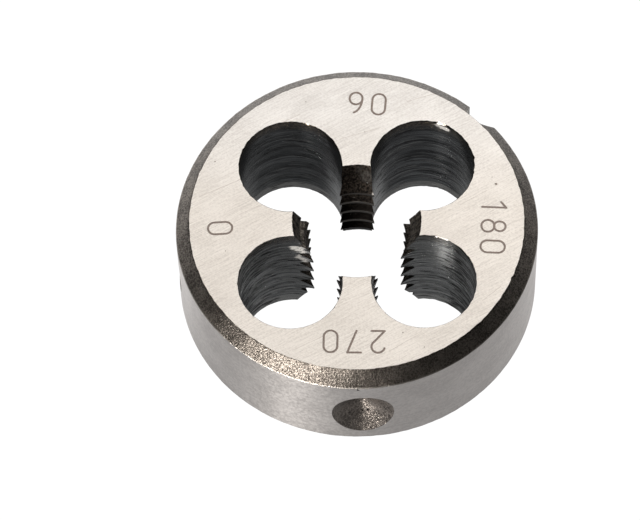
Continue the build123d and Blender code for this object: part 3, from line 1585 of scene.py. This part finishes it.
@dataclass(frozen=True)
class DrilledFinish:
    """A drilled wall: blackened, ringed, torn, scaled at its top and paler at its bottom, with painted
    light and shade.
    """

    dark: Colour = (0.034, 0.037, 0.040)
    light: Colour = (0.165, 0.175, 0.183)
    # Painted light: the near holes' walls are painted much lighter than the far holes'.
    lit_near_dark: Colour = (0.56, 0.57, 0.575)
    lit_near_pale: Colour = (0.92, 0.93, 0.93)
    near_run: Run = (1.0, -4.0)
    band: Grain = Grain(1.0, 5.0, 0.7, 0.2, (0.16, 0.16, 3.4))
    light_run: Run = (0.36, 0.66)
    # Painted light and shade on walls that face left or right low down: lighter in the far holes,
    # darker in the near ones.
    near_side_shade: Colour = (0.15, 0.155, 0.16)
    far_side_lit: Colour = (0.88, 0.89, 0.90)
    side_run: Run = (0.60, 0.95)
    side_height: Run = (8.5, 2.5)
    side_share: float = 0.80
    inner_run: FullRun = (7.0, 4.0, 0.40, 1.0)
    # Painted shade: the far holes' walls are darkened left of the middle.
    left_shade_run: Run = (0.0, -3.0)
    left_shade_share: float = 0.35
    pale_steel: Colour = (0.66, 0.65, 0.63)
    ridge: Grain = Grain(1.3, 2.0, stretch=(0.07, 0.07, 1.9))
    ridge_middle: float = 0.5
    ridge_run: Run = (0.026, 0.006)
    ridge_share: float = 0.24
    exit_run: Run = (1.05, 0.90)
    exit_share: float = 0.38
    torn: Colour = (0.010, 0.010, 0.011)
    tear: Grain = Grain(1.2, 3.0, stretch=(0.5, 0.5, 4.6))
    tear_run: Run = (0.575, 0.625)
    tear_share: float = 0.85
    flank_run: Run = (0.10, 0.60)
    flank_tear: float = 0.10
    grain: Grain = Grain(5.0, 3.0, 0.7)
    scale: Colour = (0.066, 0.054, 0.043)
    scale_light: Colour = (0.27, 0.23, 0.185)
    scale_light_run: Run = (0.42, 0.64)
    scale_run: Run = (10.4, 11.6)
    scale_waver: float = 1.6
    scale_share: float = 0.9
    near_scale_loss: float = 0.6
    # Painted highlights: near-white, less metallic spots where the low lamp's highlight falls in the
    # upper right and lower left holes; in the upper right one they also lie on a worn edge.
    wear_and_highlight: Colour = (0.97, 0.94, 0.90)
    wear_and_highlight_spots: tuple[Spot, ...] = (
        (7.1, 9.11, 10.72), (7.42, 8.98, 10.6), (7.72, 8.83, 10.55),
        (-5.0, -1.34, 8.8), (-4.75, -1.4, 8.75), (-4.5, -1.45, 8.6), (-4.7, -1.41, 9.0),
        (-5.3, -1.28, 9.0), (-5.15, -1.31, 9.2),
        (-4.85, -1.37, 7.55), (-4.6, -1.43, 7.3), (-4.38, -1.49, 7.1),
    )
    highlight_spot_radius: float = 0.34
    highlight_spot_ragged: FullRun = (0.35, 0.65, 0.22, -0.12)
    highlight_spot_grain: FullRun = (0.32, 0.48, 0.3, 1.0)
    highlight_metal_loss: float = 0.8
    relief: float = 0.03
    relief_weights: tuple[float, ...] = (1.0, -0.4, 0.15, 0.15)
    far_roughness: float = 0.20
    near_roughness: float = 0.315
    rough_run: Run = (0.35, 0.65)
    rough_swing: float = -0.05
    spread: float = 0.98

    def steel(self, sheet: NodeSheet, near: Socket, across: Socket, band: Socket) -> Socket:
        """The colour of the wall before the marks on it, with painted light and shade in it.

        Args:
            sheet: The material's nodes.
            near: 1 on the near side of the die, 0 on its far side.
            across: How far the wall faces to the left or the right, from 0 to 1.
            band: The uneven bands that the drill left.

        Returns:
            The colour.
        """
        streak = sheet.ease(band, *self.light_run)
        far_colour = sheet.mix(streak, self.dark, self.light)
        # Painted light: the near holes' walls are far lighter than the far holes'.
        colour = sheet.mix(near, far_colour, sheet.mix(streak, self.lit_near_dark, self.lit_near_pale))
        # Painted light and shade: walls that face left or right low down are painted lighter in the
        # far holes and darker in the near ones.
        facing = sheet.ease(across, *self.side_run)
        low = sheet.ease(sheet.axis("Z"), *self.side_height)
        inner = sheet.math("MAXIMUM", near, sheet.ease(sheet.aside(), *self.inner_run))
        side = sheet.mix(near, self.far_side_lit, self.near_side_shade)
        return sheet.lay(colour, side, facing, low, inner, self.side_share)

    def scaled(self, sheet: NodeSheet, colour: Socket, near: Socket, grain: Socket) -> Socket:
        """Lays the brown scale over the top of the wall.

        Args:
            sheet: The material's nodes.
            colour: The colour that it is laid over.
            near: 1 on the near side of the die, 0 on its far side.
            grain: The wall's fine grain.

        Returns:
            The colour.
        """
        scale = sheet.mix(sheet.ease(grain, *self.scale_light_run), self.scale, self.scale_light)
        uneven = sheet.plus(sheet.axis("Z"), sheet.times(grain, self.scale_waver))
        loss = sheet.times(near, self.near_scale_loss)
        share = sheet.math("SUBTRACT", self.scale_share, loss)
        return sheet.lay(colour, scale, sheet.ease(uneven, *self.scale_run), share)

    def material(self) -> bpy.types.Material:
        """Builds the material.

        Returns:
            The material.
        """
        sheet = NodeSheet("drilled_wall")
        band, grain = sheet.noise(self.band), sheet.noise(self.grain)
        off = sheet.math("SUBTRACT", sheet.noise(self.ridge), self.ridge_middle)
        ridge = sheet.ease(sheet.math("ABSOLUTE", off), *self.ridge_run)
        near = sheet.ease(sheet.axis("Y"), *self.near_run)
        normal = sheet.add("ShaderNodeNewGeometry", {}).outputs["True Normal"]
        facing = sheet.add("ShaderNodeSeparateXYZ", {0: normal}).outputs["X"]
        across = sheet.math("ABSOLUTE", facing)
        colour = self.steel(sheet, near, across, band)
        colour = sheet.lay(colour, self.pale_steel, ridge, self.ridge_share)
        # Painted shade: darkens the far holes' walls left of the middle.
        left = sheet.ease(sheet.axis("X"), *self.left_shade_run)
        colour = sheet.lay(colour, self.dark, left, sheet.rest(near), self.left_shade_share)
        # Lighter towards the bottom of the wall.
        leaving = sheet.ease(sheet.axis("Z"), *self.exit_run)
        colour = sheet.lay(colour, self.pale_steel, leaving, self.exit_share)
        flank = sheet.times(near, sheet.ease(across, *self.flank_run), self.flank_tear)
        tear = sheet.ease(sheet.plus(sheet.noise(self.tear), flank), *self.tear_run)
        colour = sheet.lay(colour, self.torn, tear, self.tear_share)
        colour = self.scaled(sheet, colour, near, grain)
        # Painted highlights: near-white, less metallic spots in the upper right and lower left holes.
        ragged = sheet.ease(band, *self.highlight_spot_ragged)
        wear_and_highlight = sheet.times(sheet.spots(self.wear_and_highlight_spots, self.highlight_spot_radius, ragged),
                           sheet.ease(grain, *self.highlight_spot_grain))
        colour = sheet.lay(colour, self.wear_and_highlight, wear_and_highlight)
        relief = sheet.blend(*zip((band, tear, grain, ridge), self.relief_weights))
        side_rough = sheet.ease(near, 0.0, 1.0, self.far_roughness, self.near_roughness)
        rough = sheet.plus(side_rough, sheet.sway(band, self.rough_run, 0.0, self.rough_swing))
        return sheet.finish(Base_Color=colour, Metallic=sheet.rest(wear_and_highlight, self.highlight_metal_loss),
                            Roughness=rough, Normal=sheet.bump(relief, self.relief),
                            Anisotropic=self.spread, Tangent=sheet.upright())


@dataclass(frozen=True)
class ToothFinish:
    """The teeth and their leads: near-black flanks, with lighter crests."""

    crest_radius: float
    dark: Colour = (0.011, 0.0095, 0.0085)
    brown: Colour = (0.075, 0.061, 0.050)
    crest: Colour = (0.14, 0.13, 0.12)
    crest_run: Run = (0.05, 0.01)
    side_dark: Colour = (0.11, 0.097, 0.084)
    side_light: Colour = (0.55, 0.49, 0.43)
    side_run: Run = (2.6, 4.0)
    lead_run: FullRun = (7.8, 8.8, 0.25, 1.0)
    grain: Grain = Grain(5.0, 4.0, 0.7)
    brown_run: Run = (0.42, 0.62)
    brown_height: FullRun = (5.0, 8.5, 0.1, 1.0)
    streaks: Grain = Grain(1.0, 4.0, 0.7, stretch=(5.0, 5.0, 0.9))
    streak_run: Run = (0.40, 0.62)
    specks: Grain = Grain(3.0, 4.0, 0.8)
    speck_run: Run = (0.62, 0.70)
    glint: Colour = (0.62, 0.60, 0.57)
    glints: tuple[Spot, ...] = (
        (1.47, 3.92, 8.48), (1.52, 4.02, 8.62), (1.0, 4.4, 9.4), (0.75, 4.5, 9.75),
    )
    glint_radius: float = 0.09
    glint_metal_loss: float = 0.7
    # A paler patch on the upper lead.
    pale_patch_spots: tuple[Spot, ...] = (
        (-0.5, 6.1, 10.6), (-0.1, 6.0, 10.5), (0.5, 5.6, 10.2), (1.0, 5.0, 9.9),
    )
    pale_patch_radius: float = 0.6
    tone_patch_run: FullRun = (0.35, 0.60, 0.1, 0.75)
    relief: float = 0.05
    roughness: float = 0.42

    def material(self) -> bpy.types.Material:
        """Builds the material.

        Returns:
            The material.
        """
        sheet = NodeSheet("teeth")
        grain, streaks = sheet.noise(self.grain), sheet.noise(self.streaks)
        height = sheet.axis("Z")
        brown = sheet.times(sheet.ease(grain, *self.brown_run), sheet.ease(height, *self.brown_height))
        flank = sheet.mix(brown, self.dark, self.brown)
        lead = sheet.mix(sheet.ease(streaks, *self.streak_run), self.side_dark, self.side_light)
        side = sheet.ease(sheet.aside(), *self.side_run)
        colour = sheet.lay(flank, lead, side, sheet.ease(height, *self.lead_run))
        pale_patch = sheet.spots(self.pale_patch_spots, self.pale_patch_radius)
        colour = sheet.lay(colour, self.crest, pale_patch, sheet.ease(streaks, *self.tone_patch_run))
        crests = sheet.ease(sheet.radius(), *(self.crest_radius + off for off in self.crest_run))
        specks = sheet.ease(sheet.noise(self.specks), *self.speck_run)
        colour = sheet.lay(colour, self.crest, sheet.math("MAXIMUM", crests, specks))
        glint = sheet.spots(self.glints, self.glint_radius)
        colour = sheet.lay(colour, self.glint, glint)
        return sheet.finish(Base_Color=colour, Metallic=sheet.rest(glint, self.glint_metal_loss),
                            Roughness=self.roughness, Normal=sheet.bump(grain, self.relief))


@dataclass(frozen=True)
class EtchedFinish:
    """The browned floor of an etched stroke or a pit."""

    light: Colour = (0.47, 0.385, 0.34)
    dark: Colour = (0.31, 0.25, 0.22)
    grain: Grain = Grain(12.0, 3.0, 0.7)
    light_run: Run = (0.35, 0.65)
    relief: float = 0.01
    metal: float = 0.6
    roughness: float = 0.5

    def material(self) -> bpy.types.Material:
        """Builds the material.

        Returns:
            The material.
        """
        sheet = NodeSheet("etched")
        grain = sheet.noise(self.grain)
        colour = sheet.mix(sheet.ease(grain, *self.light_run), self.dark, self.light)
        return sheet.finish(Base_Color=colour, Metallic=self.metal, Roughness=self.roughness,
                            Normal=sheet.bump(grain, self.relief))


@dataclass
class ThreadingDie:
    """The whole die: its sizes, its surfaces and its finishes."""

    disc: DiscSizes = field(default_factory=DiscSizes)
    seat_angles: tuple[float, ...] = (180.0, 270.0)
    numbers: tuple[EtchedNumber, ...] = (
        EtchedNumber("0", 181.5),
        EtchedNumber("90", 83.7),
        EtchedNumber("180", -4.7),
        EtchedNumber("270", -92.8),
    )
    seat_pits: tuple[Spot, ...] = (
        (-0.02, -13.99, 4.0), (0.40, -14.0, 4.06), (-1.11, -14.21, 4.08),
    )
    pits: tuple[Pit, ...] = (
        Pit(11.66, 3.06, 0.11),
        Pit(11.36, 3.74, 0.05),
        Pit(0.95, 8.48, 0.05),
        Pit(-11.61, 6.07, 0.06),
        Pit(3.43, -10.58, 0.06),
        Pit(5.12, -11.99, 0.05),
        Pit(-3.9, 11.6, 0.05),
        Pit(-10.89, -2.47, 0.05),
    )
    thread: ThreadForm = field(init=False)
    cutting_wall: CuttingWall = field(init=False)
    outer_wall: OuterWall = field(init=False)

    def __post_init__(self) -> None:
        """Lays out the surfaces from the disc's sizes."""
        self.thread = ThreadForm(self.disc)
        self.cutting_wall = CuttingWall(self.thread)
        notch_angle = self.cutting_wall.hole_angle(0)
        seats = tuple(ScrewSeat(angle) for angle in self.seat_angles)
        self.outer_wall = OuterWall(self.disc, CentringNotch(notch_angle), seats)

    def materials(self) -> list[bpy.types.Material]:
        """Builds the finish of every surface.

        Returns:
            One material for each surface, in the order of Surface.
        """
        finishes = {
            Surface.GROUND_FACE: GroundFaceFinish(),
            Surface.CHAMFER: GrainyFinish(
                "chamfer", dark=(0.062, 0.053, 0.046), light=(0.28, 0.248, 0.218),
                # the pale line at radius 14.90 to 14.98 is a painted highlight
                grain=Grain(7.0, 3.0, 0.7), relief=0.037, roughness=0.355, edge_highlight_run=(14.90, 14.98),
            ),
            Surface.RIM: RimFinish(),
            Surface.CHIP_HOLE: DrilledFinish(),
            Surface.THREAD: ToothFinish(self.thread.crest_radius),
            Surface.SEAT: GrainyFinish(
                "screw_seat", dark=(0.085, 0.074, 0.066), light=(0.56, 0.492, 0.440),
                grain=Grain(6.5, 3.0, 0.7), relief=0.060, roughness=0.35, pits=self.seat_pits,
                # painted shade on the seat's left half
                tone_patch_run=(-0.05, 0.40, 0.62, 0.0),
            ),
            Surface.ETCHED: EtchedFinish(),
        }
        return [finishes[surface].material() for surface in Surface]

    def build(self) -> bpy.types.Object:
        """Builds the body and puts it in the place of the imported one.

        Returns:
            The new body.
        """
        draft = MeshDraft()
        inner_low, inner_high = self.cutting_wall.build(draft)
        outer_low, outer_high = self.outer_wall.build(draft)
        EndFace(0.0, False).build(draft, outer_low, inner_low)
        marks = self.numbers + self.pits
        EndFace(self.disc.thickness, True, marks).build(draft, outer_high, inner_high)
        body = draft.build("die_surface", self.materials())
        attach(body, "root")
        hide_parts("die_body")
        log.info("%s: %d points, %d faces", body.name, len(draft.points), len(draft.faces))
        return body


@dataclass(frozen=True)
class Softbox:
    """A rectangular lamp that looks at the die from one direction, in degrees and metres."""

    name: str
    azimuth: float
    elevation: float
    distance: float
    width: float
    height: float
    radiance: float
    colour: Colour

    def build(self) -> bpy.types.Object:
        """Places the lamp.

        Returns:
            The lamp's object.
        """
        lamp = bpy.data.lights.new(self.name, "AREA")
        lamp.shape = "RECTANGLE"
        lamp.size, lamp.size_y = self.width, self.height
        lamp.energy = self.radiance * math.pi * self.width * self.height
        lamp.color = self.colour
        piece = new_object(self.name, lamp)
        turn, tilt = math.radians(self.azimuth), math.radians(self.elevation)
        direction = Vector(
            (math.cos(turn) * math.cos(tilt), math.sin(turn) * math.cos(tilt), math.sin(tilt))
        )
        piece.location = direction * self.distance
        piece.rotation_euler = direction.to_track_quat("Z", "Y").to_euler()
        log.info("%s: %.2f m away", self.name, self.distance)
        return piece


@dataclass(frozen=True)
class Studio:
    """The pale table, the lamps, the faint light from all round and the camera."""

    floor_side: float = 6.0  # in metres
    floor_gap: float = 0.02  # under the die, in millimetres
    floor_white: float = 1.05
    glow_depth: FullRun = (-20.0, 8.0, 0.40, 0.78)
    glow_shadow: FullRun = (11.0, 17.0, 0.30, 1.0)
    glow_left: FullRun = (-17.0, -10.0, 0.30, 0.0)
    glow_right: FullRun = (15.0, 50.0, 0.0, -0.30)
    glow_sides_from: Run = (-9.0, 2.0)
    glow_distance: FullRun = (40.0, 200.0, 0.0, 0.8)
    glow_distance_from: Run = (-20.0, 8.0)
    glow_behind: FullRun = (18.0, 32.0, 0.0, 0.38)
    glow_behind_width: Run = (26.0, 8.0)
    lamps: tuple[Softbox, ...] = (
        Softbox("overhead_softbox", azimuth=76, elevation=50, distance=0.7, width=0.55,
                height=0.55, radiance=1.58, colour=(1.0, 0.985, 0.96)),
        Softbox("low_left_lamp", azimuth=236, elevation=26, distance=0.6, width=0.10,
                height=0.22, radiance=44.0, colour=(1.0, 0.97, 0.93)),
    )
    ambient: float = 0.015
    elevation: float = 61.093
    roll: float = -1.83
    distance_mm: float = 374.48
    across_mm: float = -3.201
    up_mm: float = 2.063
    focal_pixels: float = 4416.296
    image_width: int = 640
    sensor_mm: float = 36.0
    clip_start: float = 0.01

    def build(self) -> None:
        """Builds the table, the lamps, the ambient light and the camera."""
        self.build_floor()
        for lamp in self.lamps:
            lamp.build()
        world = bpy.data.worlds.new("ambient")
        world.use_nodes = True
        background = world.node_tree.nodes["Background"]
        background.inputs["Color"].default_value = (1, 1, 1, 1)
        background.inputs["Strength"].default_value = self.ambient
        bpy.context.scene.world = world
        bpy.context.scene.view_settings.view_transform = "Standard"
        log.info("%s: strength %.3f", world.name, self.ambient)
        self.build_camera()

    def build_floor(self) -> None:
        """Builds the white table top, and the soft light that it throws back on the die."""
        top = self.build_table("table_top", NodeSheet("table_top").glow(self.floor_white))
        glow = self.build_table("table_glow", self.glow_material())
        top.visible_diffuse = top.visible_glossy = top.visible_shadow = False
        glow.visible_camera = glow.visible_shadow = False

    def build_table(self, name: str, material: bpy.types.Material) -> bpy.types.Object:
        """Builds one level square just under the die.

        Args:
            name: The piece's name.
            material: What it is covered with.

        Returns:
            The square, marked as part of the stage.
        """
        half, low = self.floor_side / 2, -self.floor_gap * METRES
        mesh = bpy.data.meshes.new(name)
        corners = [(-half, -half, low), (half, -half, low), (half, half, low), (-half, half, low)]
        mesh.from_pydata(corners, [], [(0, 1, 2, 3)])
        mesh.materials.append(material)
        table = new_object(name, mesh)
        log.info("%s: %.1f m", name, self.floor_side)
        return table

    def glow_material(self) -> bpy.types.Material:
        """The light thrown back by the table: brighter at the far side, dark under the die.

        Returns:
            The material.
        """
        sheet = NodeSheet("table_glow")
        across, along, away = sheet.axis("X"), sheet.axis("Y"), sheet.radius()
        sides = sheet.ease(along, *self.glow_sides_from)
        parts = (
            (sheet.ease(across, *self.glow_left), sides),
            (sheet.ease(away, *self.glow_distance), sheet.ease(along, *self.glow_distance_from)),
            (sheet.ease(across, *self.glow_right), sides),
            (sheet.ease(along, *self.glow_behind), sheet.ease(sheet.aside(), *self.glow_behind_width)),
        )
        more = [sheet.plus(sheet.times(*part), 1.0) for part in parts]
        shadow = sheet.ease(away, *self.glow_shadow)
        return sheet.glow(sheet.times(shadow, sheet.ease(along, *self.glow_depth), *more))

    def build_camera(self) -> None:
        """Places the camera."""
        tilt, roll = math.radians(self.elevation), math.radians(self.roll)
        back = Vector((0, -math.cos(tilt), math.sin(tilt)))
        level = Vector((1, 0, 0))
        rise = back.cross(level)
        right = level * math.cos(roll) + rise * math.sin(roll)
        up = rise * math.cos(roll) - level * math.sin(roll)
        spot = back * self.distance_mm + right * self.across_mm + up * self.up_mm
        data = bpy.data.cameras.new("studio_camera")
        data.sensor_fit = "HORIZONTAL"
        data.sensor_width = self.sensor_mm
        data.lens = self.focal_pixels / self.image_width * self.sensor_mm
        data.clip_start = self.clip_start
        camera = new_object("studio_camera", data)
        turn = Matrix((right, up, back)).transposed().to_4x4()
        camera.matrix_world = Matrix.Translation(spot * METRES) @ turn
        bpy.context.scene.camera = camera
        log.info("studio_camera: %.1f mm lens", data.lens)


def main() -> None:
    """Builds the die and the studio."""
    logging.basicConfig(level=logging.INFO, format="%(name)s %(message)s", stream=sys.stdout)
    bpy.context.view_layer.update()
    ThreadingDie().build()
    Studio().build()
    bpy.context.view_layer.update()


if __name__ == "__main__":
    main()
